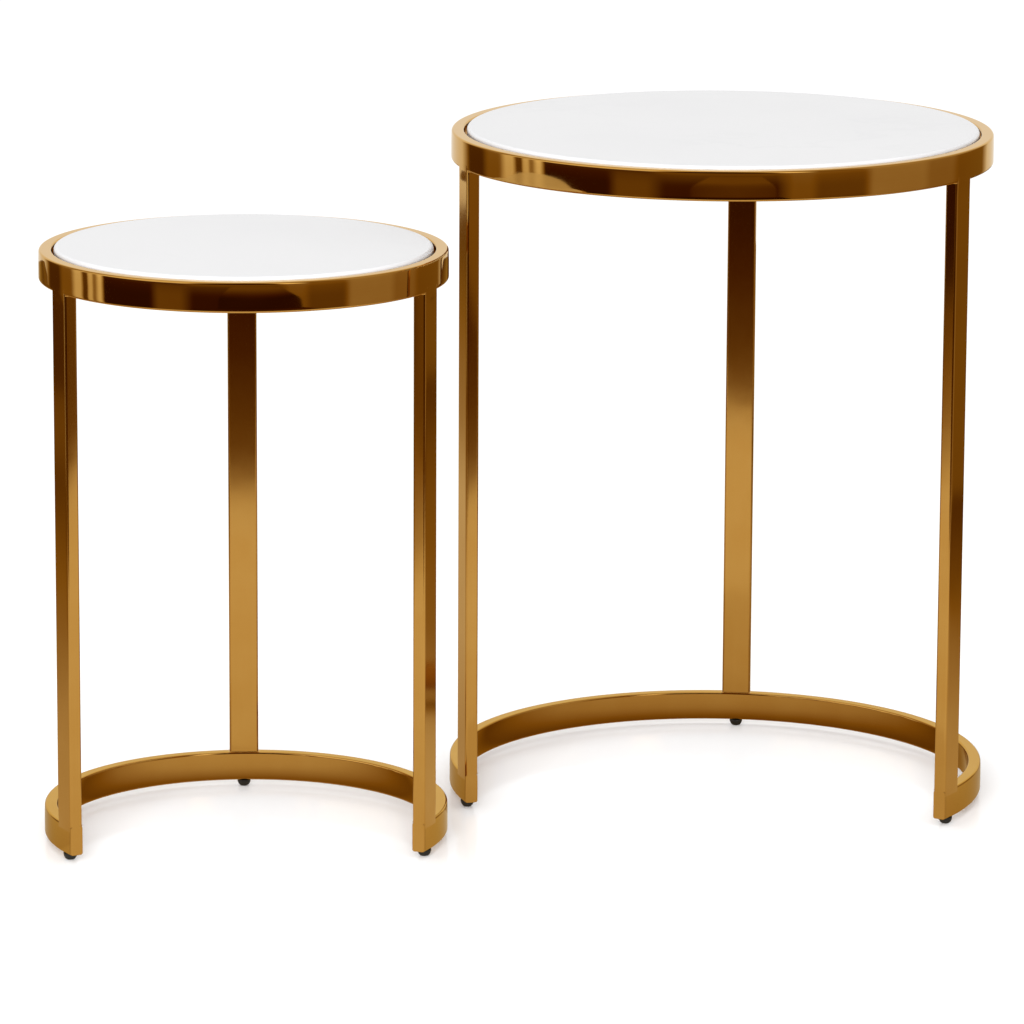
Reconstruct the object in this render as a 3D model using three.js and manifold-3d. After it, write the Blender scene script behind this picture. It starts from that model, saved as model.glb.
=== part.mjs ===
// Nesting tables: two round side tables of plated rectangular tube with inset stone tops. The small table
// stands beside the large one, and fits in between its legs when the pair is nested.
//
// Millimetres, +Z up. The origin is on the floor, under the middle of the pair's outline, and the open
// fronts of the base arcs face -Y.

import * as THREE from "three";
import { mergeVertices } from "three/addons/utils/BufferGeometryUtils.js";
import Module from "manifold-3d";

// ---------------------------------------------------------------------------------------------------------
// Driving dimensions
// ---------------------------------------------------------------------------------------------------------

// The two tables. height is from the floor to the ring's top edge. frontLegAngle is how far the front legs
// stand in front of the table's widest line, turn is the whole table's turn about +Z, and stoneShift is
// how far the loose disc lies off the middle of its ring. Angles are in degrees.
const smallTable = {
  name: "small",
  diameter: 368,
  height: 545,
  frontLegAngle: 26,
  turn: -1.5,
  stoneShift: [0, 0],
};

const largeTable = {
  name: "large",
  diameter: 500,
  height: 627,
  frontLegAngle: 24,
  turn: -11.5,
  stoneShift: [0.7, 0],
};

// How the pair stands: the clear space between the two rings, and the large table's direction from the
// small one, counted from +X towards +Y.
const standing = {
  gap: 34.7,
  bearing: 17.5,
};

// The tube that every ring, arc and leg is made of. Its wide side is upright in rings and arcs, and faces
// outwards in the legs.
const tube = {
  wide: 27,
  thin: 12,
  wall: 1.2,
  cornerRadius: 2,
};

const legInset = 0.4; // the legs' flat outer faces stay just inside the ring's curve
const ventDiameter = 7; // holes between a leg's hollow and the hollows above and below it
const endCapThickness = 2;

const stone = {
  thickness: 16,
  proud: 2.5, // how far its top stands above the ring
  topEdgeRadius: 2.5,
  bottomChamfer: 1,
};

const supportTab = {
  count: 4,
  firstAngle: 45,
  reach: 22, // inwards from the ring
  width: 24,
  thickness: 3,
};

const pad = {
  diameter: 10,
  thickness: 1.6,
  fromRing: 12, // its centre, inwards from the ring
};

const foot = {
  diameter: 12.5,
  height: 6.5, // how high the feet hold the base arc off the floor
  floorDiameter: 4, // the dome's flat underside
  stemDiameter: 6,
  barbDiameter: 8,
  barbHeight: 4,
  barbTipDiameter: 4,
};

// Clearances
const weldGap = 0.3; // between pieces that are welded together
const stoneGap = 1.8; // between the disc and the ring all round
const restGap = 0.3; // between pieces that lie or press on each other

// ---------------------------------------------------------------------------------------------------------
// Fineness
// ---------------------------------------------------------------------------------------------------------

const RING_SEGMENTS = 60;
const CORNER_SEGMENTS = 2;
const EDGE_SEGMENTS = 4;
const DOME_SEGMENTS = 4;
const FOOT_SEGMENTS = 16;
const HOLE_SEGMENTS = 12;
const MERGE_DISTANCE = 1e-4;
const CUT_MARGIN = 1; // how far a cutting solid runs past the face it cuts

// ---------------------------------------------------------------------------------------------------------
// Materials
// ---------------------------------------------------------------------------------------------------------

const finishes = {
  gold: { color: 0xb8893c, roughness: 0.18, metalness: 1 },
  stone: { color: 0xececee, roughness: 0.25, metalness: 0 },
  rubber: { color: 0x141414, roughness: 0.7, metalness: 0 },
  pad: { color: 0xd9d9d4, roughness: 0.5, metalness: 0 },
};

/** A new standard material with one of the finishes above. */
function materialOf(finish) {
  return new THREE.MeshStandardMaterial(finishes[finish]);
}

// ---------------------------------------------------------------------------------------------------------
// Solids
// ---------------------------------------------------------------------------------------------------------

const wasm = await Module();
wasm.setup();

/** The manifold-3d solid of a closed three.js geometry. */
function solidFrom(geometry) {
  const bare = geometry.clone();
  bare.deleteAttribute("normal");
  bare.deleteAttribute("uv");
  const merged = mergeVertices(bare, MERGE_DISTANCE);
  return new wasm.Manifold(
    new wasm.Mesh({
      numProp: 3,
      vertProperties: new Float32Array(merged.attributes.position.array),
      triVerts: new Uint32Array(merged.index.array),
    }),
  );
}

/** The three.js geometry of a manifold-3d solid. */
function geometryFrom(solid) {
  const mesh = solid.getMesh();
  const geometry = new THREE.BufferGeometry();
  geometry.setAttribute("position", new THREE.BufferAttribute(new Float32Array(mesh.vertProperties), 3));
  geometry.setIndex(new THREE.BufferAttribute(new Uint32Array(mesh.triVerts), 1));
  geometry.computeVertexNormals();
  return geometry;
}

/** Points on a quarter of an ellipse about (x, y), from one angle (degrees) to the next quarter. */
function quarterArc(x, y, radiusX, radiusY, startAngle, segments) {
  return Array.from({ length: segments + 1 }, (_, step) => {
    const angle = THREE.MathUtils.degToRad(startAngle + (90 * step) / segments);
    return new THREE.Vector2(x + radiusX * Math.cos(angle), y + radiusY * Math.sin(angle));
  });
}

/** The outline of a rectangle with round corners, counterclockwise about its own centre. */
function roundedRectangle(width, height, radius) {
  const x = width / 2 - radius;
  const y = height / 2 - radius;
  return [
    ...quarterArc(x, y, radius, radius, 0, CORNER_SEGMENTS),
    ...quarterArc(-x, y, radius, radius, 90, CORNER_SEGMENTS),
    ...quarterArc(-x, -y, radius, radius, 180, CORNER_SEGMENTS),
    ...quarterArc(x, -y, radius, radius, 270, CORNER_SEGMENTS),
  ];
}

/** The outline of a plain rectangle, counterclockwise about its own centre. */
function rectangle(width, height) {
  return [
    new THREE.Vector2(width / 2, height / 2),
    new THREE.Vector2(-width / 2, height / 2),
    new THREE.Vector2(-width / 2, -height / 2),
    new THREE.Vector2(width / 2, -height / 2),
  ];
}

/** A profile of (radius, height) points turned about +Z. */
function revolved(profile, segments) {
  return new THREE.LatheGeometry(profile, segments).rotateX(Math.PI / 2);
}

/** A closed outline, moved to a radius and a height and turned about +Z into a ring. */
function ringFrom(outline, radius, height) {
  const moved = outline.map((point) => new THREE.Vector2(point.x + radius, point.y + height));
  return solidFrom(revolved([...moved, moved[0]], RING_SEGMENTS));
}

/** An upright cylinder between two heights, standing at a place in plan. */
function uprightCylinder(diameter, bottom, top, place, segments) {
  const length = top - bottom;
  return new THREE.CylinderGeometry(diameter / 2, diameter / 2, length, segments)
    .rotateX(Math.PI / 2)
    .translate(place.x, place.y, bottom + length / 2);
}

/** A box given by its lowest and highest corners, then turned about +Z. */
function turnedBox(low, high, angle) {
  const size = new THREE.Vector3().subVectors(high, low);
  const middle = new THREE.Vector3().addVectors(high, low).multiplyScalar(0.5);
  return new THREE.BoxGeometry(size.x, size.y, size.z)
    .translate(middle.x, middle.y, middle.z)
    .rotateZ(angle);
}

/** The point at a radius and an angle (radians) in plan. */
function polar(radius, angle) {
  return new THREE.Vector2(radius * Math.cos(angle), radius * Math.sin(angle));
}

// ---------------------------------------------------------------------------------------------------------
// One table
// ---------------------------------------------------------------------------------------------------------

/** The heights, radii and legs that a table's pieces share, worked out from its driving dimensions. */
function layoutOf(table) {
  const outerRadius = table.diameter / 2;
  const innerRadius = outerRadius - tube.thin;
  const ringBottom = table.height - tube.wide;
  const arcTop = foot.height + tube.wide;
  const stoneTop = table.height + stone.proud;
  const stoneBottom = stoneTop - stone.thickness;
  const padTop = stoneBottom - restGap;
  const tabTop = padTop - pad.thickness - restGap;
  const frontAngle = THREE.MathUtils.degToRad(table.frontLegAngle);
  return {
    outerRadius,
    innerRadius,
    middleRadius: outerRadius - tube.thin / 2,
    legRadius: outerRadius - tube.thin / 2 - legInset,
    ringBottom,
    arcTop,
    stoneTop,
    stoneBottom,
    padTop,
    tabTop,
    // openSide is the leg's side that faces the open front: along its own +Y, -Y or neither.
    legs: [
      { name: "back", angle: Math.PI / 2, openSide: 0 },
      { name: "left", angle: Math.PI + frontAngle, openSide: 1 },
      { name: "right", angle: -frontAngle, openSide: -1 },
    ],
  };
}

/** The hollow closed ring of tube centred at a height. */
function tubeRing(layout, height) {
  const outside = roundedRectangle(tube.thin, tube.wide, tube.cornerRadius);
  const inside = rectangle(tube.thin - 2 * tube.wall, tube.wide - 2 * tube.wall);
  return ringFrom(outside, layout.middleRadius, height).subtract(
    ringFrom(inside, layout.middleRadius, height),
  );
}

/** Upright holes at the legs, from one height to another. */
function holesAtLegs(layout, diameter, bottom, top) {
  return layout.legs.map((leg) =>
    solidFrom(uprightCylinder(diameter, bottom, top, polar(layout.legRadius, leg.angle), HOLE_SEGMENTS)),
  );
}

/** The ring round the stone, with a vent hole over each leg. */
function topRing(table, layout) {
  const ring = tubeRing(layout, table.height - tube.wide / 2);
  const holes = holesAtLegs(
    layout,
    ventDiameter,
    layout.ringBottom - CUT_MARGIN,
    layout.ringBottom + tube.wall + CUT_MARGIN,
  );
  return geometryFrom(holes.reduce((solid, hole) => solid.subtract(hole), ring));
}

/** The prism that is cut out of a closed ring to open its front, up to inset from the front legs' sides. */
function openFront(layout, inset) {
  const sideline = tube.wide / 2 - inset;
  const near = layout.innerRadius / 2;
  const far = layout.outerRadius * 1.5;
  const corner = (radius, leg) =>
    new THREE.Vector2(radius, leg.openSide * sideline).rotateAround(new THREE.Vector2(), leg.angle);
  const [, left, right] = layout.legs;
  const outline = new THREE.Shape([
    corner(near, left),
    corner(far, left),
    new THREE.Vector2(-far, -2 * far),
    new THREE.Vector2(far, -2 * far),
    corner(far, right),
    corner(near, right),
  ]);
  return new THREE.ExtrudeGeometry(outline, {
    depth: tube.wide + 2 * CUT_MARGIN,
    bevelEnabled: false,
  }).translate(0, 0, foot.height - CUT_MARGIN);
}

/** The base arc, open at the front, with a vent hole under each leg and a hole for each foot's stem. */
function baseArc(layout) {
  const ring = tubeRing(layout, foot.height + tube.wide / 2);
  const vents = holesAtLegs(
    layout,
    ventDiameter,
    layout.arcTop - tube.wall - CUT_MARGIN,
    layout.arcTop + CUT_MARGIN,
  );
  const stemHoles = holesAtLegs(
    layout,
    foot.stemDiameter + 2 * restGap,
    foot.height - CUT_MARGIN,
    foot.height + tube.wall + CUT_MARGIN,
  );
  const cut = solidFrom(openFront(layout, endCapThickness + weldGap));
  return geometryFrom([...vents, ...stemHoles, cut].reduce((solid, tool) => solid.subtract(tool), ring));
}

/** The plate that closes the base arc's end at a front leg, flush with the tube and the leg's side. */
function endCap(layout, leg) {
  const outside = roundedRectangle(tube.thin, tube.wide, tube.cornerRadius);
  const solidRing = ringFrom(outside, layout.middleRadius, foot.height + tube.wide / 2);
  const sides = [
    leg.openSide * (tube.wide / 2),
    leg.openSide * (tube.wide / 2 - endCapThickness),
  ];
  const slab = turnedBox(
    new THREE.Vector3(layout.innerRadius / 2, Math.min(...sides), 0),
    new THREE.Vector3(layout.outerRadius * 1.5, Math.max(...sides), layout.arcTop + CUT_MARGIN),
    leg.angle,
  );
  return geometryFrom(solidRing.intersect(solidFrom(slab)));
}

/** One leg's tube, standing on its own origin. */
function legTube(layout) {
  const outline = new THREE.Shape(roundedRectangle(tube.thin, tube.wide, tube.cornerRadius));
  const bore = rectangle(tube.thin - 2 * tube.wall, tube.wide - 2 * tube.wall);
  outline.holes.push(new THREE.Path(bore));
  return new THREE.ExtrudeGeometry(outline, {
    depth: layout.ringBottom - layout.arcTop - 2 * weldGap,
    bevelEnabled: false,
  });
}

/** The stone disc, standing on its own origin. */
function stoneDisc(layout) {
  const radius = layout.innerRadius - stoneGap;
  const edge = stone.topEdgeRadius;
  return revolved(
    [
      new THREE.Vector2(0, 0),
      new THREE.Vector2(radius - stone.bottomChamfer, 0),
      new THREE.Vector2(radius, stone.bottomChamfer),
      ...quarterArc(radius - edge, stone.thickness - edge, edge, edge, 0, EDGE_SEGMENTS),
      new THREE.Vector2(0, stone.thickness),
    ],
    RING_SEGMENTS,
  );
}

/** A support tab whose outer end follows the inside of the ring. */
function tabPlate(layout, angle) {
  const reachedRadius = layout.innerRadius - weldGap;
  const bottom = layout.tabTop - supportTab.thickness;
  const plate = turnedBox(
    new THREE.Vector3(layout.innerRadius - supportTab.reach, -supportTab.width / 2, bottom),
    new THREE.Vector3(layout.outerRadius, supportTab.width / 2, layout.tabTop),
    angle,
  );
  const insideOfRing = revolved(
    [
      new THREE.Vector2(0, bottom - CUT_MARGIN),
      new THREE.Vector2(reachedRadius, bottom - CUT_MARGIN),
      new THREE.Vector2(reachedRadius, layout.tabTop + CUT_MARGIN),
      new THREE.Vector2(0, layout.tabTop + CUT_MARGIN),
    ],
    RING_SEGMENTS,
  );
  return geometryFrom(solidFrom(plate).intersect(solidFrom(insideOfRing)));
}

/** A dome foot with its stem and barb, standing on the floor at its own origin. */
function pushInFoot() {
  const domeTop = foot.height - restGap;
  const floorRadius = foot.floorDiameter / 2;
  const barbBottom = foot.height + tube.wall + restGap;
  const dome = quarterArc(
    floorRadius,
    domeTop,
    foot.diameter / 2 - floorRadius,
    domeTop,
    270,
    DOME_SEGMENTS,
  );
  return revolved(
    [
      new THREE.Vector2(0, 0),
      ...dome,
      new THREE.Vector2(foot.stemDiameter / 2, domeTop),
      new THREE.Vector2(foot.stemDiameter / 2, barbBottom),
      new THREE.Vector2(foot.barbDiameter / 2, barbBottom),
      new THREE.Vector2(foot.barbTipDiameter / 2, barbBottom + foot.barbHeight),
      new THREE.Vector2(0, barbBottom + foot.barbHeight),
    ],
    FOOT_SEGMENTS,
  );
}

/** A named mesh with its own material. */
function piece(name, geometry, finish) {
  const mesh = new THREE.Mesh(geometry, materialOf(finish));
  mesh.name = name;
  return mesh;
}

/** One whole table as a group about its own axis, standing on the floor. */
function tableGroup(table) {
  const layout = layoutOf(table);
  const group = new THREE.Group();
  group.add(piece(`${table.name}_top_ring`, topRing(table, layout), "gold"));
  group.add(piece(`${table.name}_base_arc`, baseArc(layout), "gold"));

  const disc = piece(`${table.name}_stone_top`, stoneDisc(layout), "stone");
  disc.position.set(...table.stoneShift, layout.stoneBottom);
  group.add(disc);

  for (const leg of layout.legs) {
    const place = polar(layout.legRadius, leg.angle);
    const upright = piece(`${table.name}_${leg.name}_leg`, legTube(layout), "gold");
    upright.position.set(place.x, place.y, layout.arcTop + weldGap);
    upright.rotation.z = leg.angle;
    group.add(upright);

    const rubberFoot = piece(`${table.name}_${leg.name}_foot`, pushInFoot(), "rubber");
    rubberFoot.position.set(place.x, place.y, 0);
    group.add(rubberFoot);

    if (leg.openSide !== 0) {
      group.add(piece(`${table.name}_${leg.name}_end_cap`, endCap(layout, leg), "gold"));
    }
  }

  for (let index = 0; index < supportTab.count; index += 1) {
    const angle = THREE.MathUtils.degToRad(supportTab.firstAngle + (360 / supportTab.count) * index);
    group.add(piece(`${table.name}_support_tab_${index + 1}`, tabPlate(layout, angle), "gold"));

    const place = polar(layout.innerRadius - pad.fromRing, angle);
    const bottom = layout.padTop - pad.thickness;
    const disk = uprightCylinder(pad.diameter, bottom, layout.padTop, place, FOOT_SEGMENTS);
    group.add(piece(`${table.name}_pad_${index + 1}`, disk, "pad"));
  }
  return group;
}

// ---------------------------------------------------------------------------------------------------------
// The pair
// ---------------------------------------------------------------------------------------------------------

/** Each table with the place of its centre line, measured from the small table's. */
function standingPlaces() {
  const distance = smallTable.diameter / 2 + standing.gap + largeTable.diameter / 2;
  return [
    { table: smallTable, axis: new THREE.Vector2(0, 0) },
    { table: largeTable, axis: polar(distance, THREE.MathUtils.degToRad(standing.bearing)) },
  ];
}

/** The middle of the pair's outline in plan. */
function middleOfOutline(places) {
  const outline = new THREE.Box2();
  for (const { table, axis } of places) {
    const radius = table.diameter / 2;
    outline.expandByPoint(axis.clone().addScalar(radius));
    outline.expandByPoint(axis.clone().addScalar(-radius));
  }
  return outline.getCenter(new THREE.Vector2());
}

const nestingTables = new THREE.Group();
const places = standingPlaces();
const middle = middleOfOutline(places);
for (const { table, axis } of places) {
  const group = tableGroup(table);
  group.position.set(axis.x - middle.x, axis.y - middle.y, 0);
  group.rotation.z = THREE.MathUtils.degToRad(table.turn);
  nestingTables.add(group);
}

export default nestingTables;
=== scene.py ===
"""Looks for a pair of nesting side tables: plated rectangular tube frames with inset round stone tops.

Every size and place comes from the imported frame, in metres: +Z is up, the tables stand on z = 0, and the open
fronts of the base arcs face -Y. Each piece stands for one part of the frame and moves with its body.
"""

import logging
import math
from collections.abc import Callable, Iterable, Sequence
from dataclasses import dataclass, field
from enum import Enum

import bmesh
import bpy
from mathutils import Euler, Matrix, Vector


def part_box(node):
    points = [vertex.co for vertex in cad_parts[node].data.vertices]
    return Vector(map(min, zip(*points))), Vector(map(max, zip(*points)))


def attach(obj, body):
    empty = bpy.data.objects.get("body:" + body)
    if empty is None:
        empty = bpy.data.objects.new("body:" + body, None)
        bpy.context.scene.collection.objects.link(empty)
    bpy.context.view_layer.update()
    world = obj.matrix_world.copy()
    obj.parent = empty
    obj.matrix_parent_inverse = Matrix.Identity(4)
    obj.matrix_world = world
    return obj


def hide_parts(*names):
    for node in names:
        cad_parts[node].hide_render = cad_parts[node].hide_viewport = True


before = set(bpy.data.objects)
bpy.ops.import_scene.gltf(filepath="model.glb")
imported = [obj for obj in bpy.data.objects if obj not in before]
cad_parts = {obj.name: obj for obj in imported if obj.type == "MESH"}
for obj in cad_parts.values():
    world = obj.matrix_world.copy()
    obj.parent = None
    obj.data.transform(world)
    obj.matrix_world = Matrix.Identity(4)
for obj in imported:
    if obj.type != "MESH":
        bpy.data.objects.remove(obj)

MERGE = 3e-6
SHARP_ANGLE = 42.0
TOUCH = 1e-6
UP = Vector((0.0, 0.0, 1.0))
LOG = logging.getLogger("nesting_tables")

Colour = tuple[float, float, float]
Place = tuple[float, float, float]
Curve = tuple[tuple[float, float], ...]
Edge = bmesh.types.BMEdge
Face = bmesh.types.BMFace
Material = bpy.types.Material
Piece = bpy.types.Object


# === Named options ===


class Slot(Enum):
    """The record's material slots."""

    GOLD = "gold_plate"
    STONE = "white_stone"
    RUBBER = "foot_rubber"
    PAD = "soft_pad"


class Element(Enum):
    """What a selection in edit mode is made of."""

    VERTEX = "VERT"
    EDGE = "EDGE"
    FACE = "FACE"


class Grain(Enum):
    """Which way the fine polishing lines of the plating run."""

    ROUND = "round"
    UPRIGHT = "upright"


class LegSide(Enum):
    """The legs of a table, each with the side of the leg that faces the open front, in its own frame."""

    BACK = ("back", 0)
    LEFT = ("left", 1)
    RIGHT = ("right", -1)

    def __init__(self, word: str, open_side: int) -> None:
        """Take the word in piece names, and 1 or -1 for the side with the open front, or 0."""
        self.word = word
        self.open_side = open_side


# === Shader maths ===


class Wire:
    """An output socket that adds Math nodes when it is used in an expression."""

    def __init__(self, graph: "Graph", socket: bpy.types.NodeSocket) -> None:
        """Wrap one output socket of a graph."""
        self.graph = graph
        self.socket = socket

    def maths(self, operation: str, *others: "Wire | float") -> "Wire":
        """Put this value and others through one Math node.

        Args:
            operation: The Math node's operation.
            others: The further inputs, in the order of the node's sockets.

        Returns:
            The node's result.
        """
        inputs = dict(enumerate((self, *others)))
        return self.graph.node("ShaderNodeMath", {"operation": operation}, inputs)

    def __add__(self, other: "Wire | float") -> "Wire":
        """Sum."""
        return self.maths("ADD", other)

    def __mul__(self, other: "Wire | float") -> "Wire":
        """Product."""
        return self.maths("MULTIPLY", other)

    __radd__, __rmul__ = __add__, __mul__

    def __sub__(self, other: "Wire | float") -> "Wire":
        """Difference."""
        return self.maths("SUBTRACT", other)

    def __rsub__(self, other: float) -> "Wire":
        """Difference from a number."""
        return (self * -1.0) + other

    def __truediv__(self, other: "Wire | float") -> "Wire":
        """Quotient."""
        return self.maths("DIVIDE", other)

    def step(self, low: float, high: float) -> "Wire":
        """Rise smoothly from 0 to 1 between two values.

        Args:
            low: Where the result is 0.
            high: Where the result is 1.

        Returns:
            The smooth step.
        """
        settings = {"interpolation_type": "SMOOTHSTEP"}
        inputs = {"Value": self, "From Min": low, "From Max": high, "To Min": 0.0, "To Max": 1.0}
        return self.graph.node("ShaderNodeMapRange", settings, inputs)


class Graph:
    """The node tree of one material or world."""

    def __init__(self, tree: bpy.types.NodeTree) -> None:
        """Take an emptied node tree."""
        self.tree = tree
        tree.nodes.clear()

    def node(
        self,
        kind: str,
        settings: dict[str, object] | None = None,
        inputs: dict[int | str, object] | None = None,
        out: int | str = 0,
    ) -> Wire:
        """Add one node.

        Args:
            kind: The node's type.
            settings: Its properties, set first. "stops" holds a ramp's (position, colour) pairs.
            inputs: Values or wires by socket name or number.
            out: The output socket that is wanted.

        Returns:
            That output.
        """
        made = self.tree.nodes.new(kind)
        for name, value in (settings or {}).items():
            if name == "stops":
                self._fill_ramp(made.color_ramp, value)
            else:
                setattr(made, name, value)
        for key, value in (inputs or {}).items():
            self._feed(self._socket(made.inputs, key), value)
        return Wire(self, self._socket(made.outputs, out)) if made.outputs else Wire(self, None)

    @staticmethod
    def _fill_ramp(ramp: bpy.types.ColorRamp, stops: Sequence[tuple[float, Colour]]) -> None:
        """Give a ramp its stops."""
        while len(ramp.elements) > 1:
            ramp.elements.remove(ramp.elements[-1])
        for index, (position, colour) in enumerate(stops):
            element = ramp.elements[0] if index == 0 else ramp.elements.new(position)
            element.position = position
            element.color = (*colour, 1.0)

    @staticmethod
    def _socket(sockets: bpy.types.bpy_prop_collection, key: int | str) -> bpy.types.NodeSocket:
        """The enabled socket of a name, or the socket of a number."""
        if isinstance(key, int):
            return sockets[key]
        return next(socket for socket in sockets if socket.name == key and socket.enabled)

    def _feed(self, socket: bpy.types.NodeSocket, value: object) -> None:
        """Link a wire to a socket, or set its value."""
        if isinstance(value, Wire):
            self.tree.links.new(value.socket, socket)
        elif isinstance(value, tuple) and len(value) == 3 and len(socket.default_value) == 4:
            socket.default_value = (*value, 1.0)
        else:
            socket.default_value = value

    def place(self) -> Wire:
        """The place on the object, in metres."""
        return self.node("ShaderNodeTexCoord", None, None, "Object")

    def separate(self, vector: Wire) -> tuple[Wire, Wire, Wire]:
        """The three numbers of a vector."""
        first = self.node("ShaderNodeSeparateXYZ", None, {0: vector})
        outputs = first.socket.node.outputs
        return tuple(Wire(self, output) for output in outputs)

    def combine(self, x: Wire | float, y: Wire | float, z: Wire | float) -> Wire:
        """A vector of three numbers."""
        return self.node("ShaderNodeCombineXYZ", None, {0: x, 1: y, 2: z})

    def distance(self, x: Wire, y: Wire) -> Wire:
        """The length of a level vector."""
        return self.node("ShaderNodeVectorMath", {"operation": "LENGTH"}, {0: self.combine(x, y, 0.0)}, "Value")

    def noise(self, vector: Wire, scale: float, detail: float = 2.0, roughness: float = 0.5) -> Wire:
        """Fractal noise from 0 to 1.

        Args:
            vector: Where it is read.
            scale: How many features there are to a unit.
            detail: How many finer layers are added.
            roughness: How strong the finer layers are.

        Returns:
            The noise.
        """
        inputs = {"Vector": vector, "Scale": scale, "Detail": detail, "Roughness": roughness}
        return self.node("ShaderNodeTexNoise", {"noise_dimensions": "3D"}, inputs, "Fac")

    def blend(self, factor: Wire | float, first: Wire | Colour, second: Wire | Colour) -> Wire:
        """Mix two colours.

        Args:
            factor: The second colour's share.
            first: The colour at 0.
            second: The colour at 1.

        Returns:
            The mixed colour.
        """
        inputs = {"Factor": factor, "A": first, "B": second}
        return self.node("ShaderNodeMix", {"data_type": "RGBA"}, inputs, "Result")

    def ramp(self, value: Wire, stops: Sequence[tuple[float, Colour]]) -> Wire:
        """Colour a value by a ramp's stops."""
        return self.node("ShaderNodeValToRGB", {"stops": stops}, {"Fac": value}, "Color")

    def profile(self, value: Wire, points: Curve) -> Wire:
        """Look a value up in a curve.

        Args:
            value: The value.
            points: The curve's (value, level) points, in order.

        Returns:
            The level.
        """
        low, high = points[0][0], points[-1][0]
        stops = [((place - low) / (high - low), (level, level, level)) for place, level in points]
        return self.ramp((value - low) / (high - low), stops)

    def bump(self, height: Wire, depth: float, below: Wire | None = None) -> Wire:
        """Turn a height from 0 to 1 into a normal.

        Args:
            height: The height.
            depth: How far 1 stands above 0, in metres.
            below: A normal that it is laid over.

        Returns:
            The normal.
        """
        inputs: dict[int | str, object] = {"Height": height, "Distance": depth, "Strength": 1.0}
        if below is not None:
            inputs["Normal"] = below
        return self.node("ShaderNodeBump", None, inputs, "Normal")


def new_material(name: str) -> tuple[Material, Graph]:
    """A material with an empty node tree."""
    material = bpy.data.materials.new(name)
    material.use_nodes = True
    return material, Graph(material.node_tree)


def surface(graph: Graph, shader: Wire, kind: str = "ShaderNodeOutputMaterial") -> None:
    """Lead a shader to the tree's output."""
    graph.node(kind, None, {"Surface": shader})


# === Finishes ===


class Finish:
    """A finish. Each kind says what its shader is fed."""

    def material(self, name: str) -> Material:
        """Build the finish.

        Args:
            name: The material's name.

        Returns:
            The material.
        """
        made, graph = new_material(name)
        inputs = self.inputs(graph, graph.place())
        surface(graph, graph.node("ShaderNodeBsdfPrincipled", None, inputs, "BSDF"))
        return made

    def inputs(self, graph: Graph, where: Wire) -> dict[str, object]:
        """Work out the shader's inputs.

        Args:
            graph: The node tree.
            where: The place on the object, in metres.

        Returns:
            Values and wires by the names of the shader's sockets.
        """
        raise NotImplementedError


@dataclass(frozen=True)
class GoldPlate(Finish):
    """Brass-gold plating over polished steel tube."""

    grain: Grain
    axis: tuple[float, float] = (0.0, 0.0)
    colour: Colour = (0.53, 0.275, 0.060)
    worn: Colour = (0.59, 0.335, 0.088)
    tint: Colour = (1.0, 0.93, 0.74)
    roughness: float = 0.05
    roughness_spread: float = 0.05
    line_pitch: float = 0.0006
    round_stretch: float = 120.0
    upright_stretch: float = 160.0
    cloud_scale: float = 22.0
    haze_scale: float = 95.0
    line_depth: float = 2.0e-7
    wave_length: float = 0.035
    wave_depth: float = 4.0e-5

    def inputs(self, graph: Graph, where: Wire) -> dict[str, object]:
        """Work out the plating's inputs.

        Args:
            graph: The node tree.
            where: The place on the object, in metres.

        Returns:
            Values and wires by the names of the shader's sockets.
        """
        moved = graph.node(
            "ShaderNodeMapping", None, {"Vector": where, "Location": (-self.axis[0], -self.axis[1], 0.0)}
        )
        lines = graph.noise(self._line_coordinates(graph, moved), 1.0, 3.0, 0.6)
        cloud = graph.noise(moved, self.cloud_scale, 3.0, 0.55)
        haze = graph.noise(moved, self.haze_scale, 4.0, 0.6)
        waves = graph.noise(moved, 1.0 / self.wave_length, 1.0, 0.4)

        polish = self.roughness + self.roughness_spread * (0.5 * lines + 0.35 * cloud + 0.35 * haze)
        normal = graph.bump(waves, self.wave_depth)
        normal = graph.bump(lines, self.line_depth, normal)
        colour = graph.blend(cloud.step(0.25, 0.85) * 0.5 + lines.step(0.3, 0.9) * 0.25, self.colour, self.worn)
        return {
            "Base Color": colour,
            "Metallic": 1.0,
            "Roughness": polish,
            "Specular Tint": self.tint,
            "Normal": normal,
        }

    def _line_coordinates(self, graph: Graph, moved: Wire) -> Wire:
        """Coordinates in which a plain noise draws out into polishing lines.

        Args:
            graph: The node tree.
            moved: Metres from the table's axis.

        Returns:
            The stretched coordinates.
        """
        x, y, z = graph.separate(moved)
        pitch = 1.0 / self.line_pitch
        if self.grain is Grain.UPRIGHT:
            return graph.combine(x * pitch, y * pitch, z * (pitch / self.upright_stretch))
        radius = graph.distance(x, y)
        slow = pitch / self.round_stretch
        return graph.combine(x * slow, y * slow, (z + radius) * pitch)


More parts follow.
